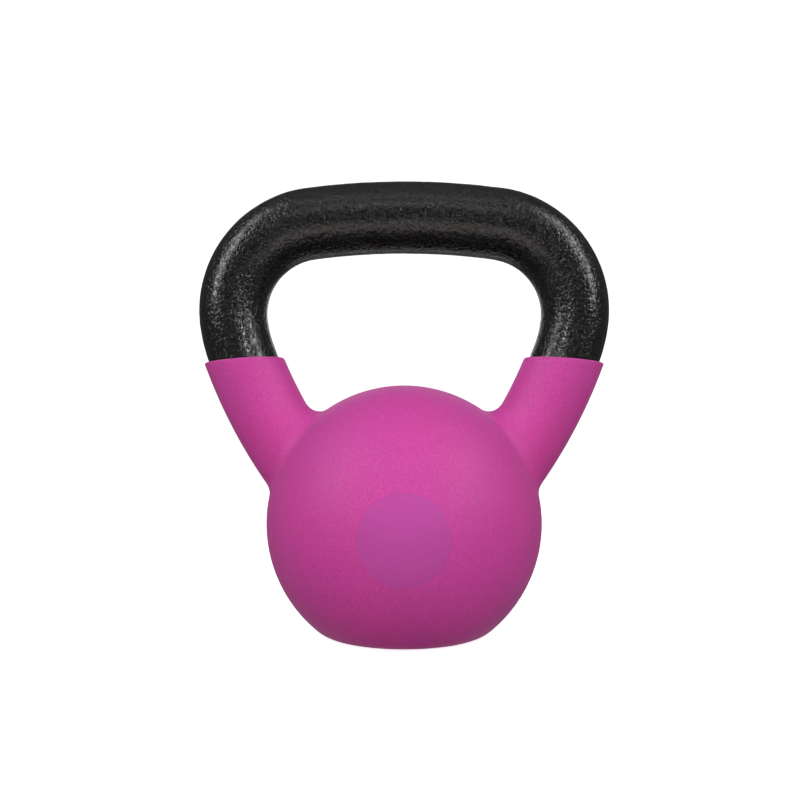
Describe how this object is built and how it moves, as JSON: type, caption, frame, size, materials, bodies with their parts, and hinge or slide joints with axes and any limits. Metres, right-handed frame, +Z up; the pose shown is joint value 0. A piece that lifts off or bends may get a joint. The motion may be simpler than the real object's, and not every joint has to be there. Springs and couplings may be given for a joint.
{
  "type": "kettlebell",
  "caption": "Small cast-iron kettlebell with a wide looped handle in black powder coat and a ball dipped in pink vinyl, flat underneath, with a blank round label.",
  "frame": {"origin": "centre of the flat underside that the bell stands on", "axes": "+Z up through the ball and the middle of the grip, X across the handle from leg to leg, -Y is the front, where the label is"},
  "size_m": [0.183, 0.1224, 0.202],
  "materials": {
    "cast_iron": "matte",
    "black_powder_coat": "satin",
    "pink_vinyl": "matte",
    "label_vinyl": "matte"
  },
  "bodies": {
    "root": {"iron_casting": "cast_iron", "handle_powder_coat": "black_powder_coat", "vinyl_coat": "pink_vinyl", "front_label": "label_vinyl"}
  },
  "joints": []
}
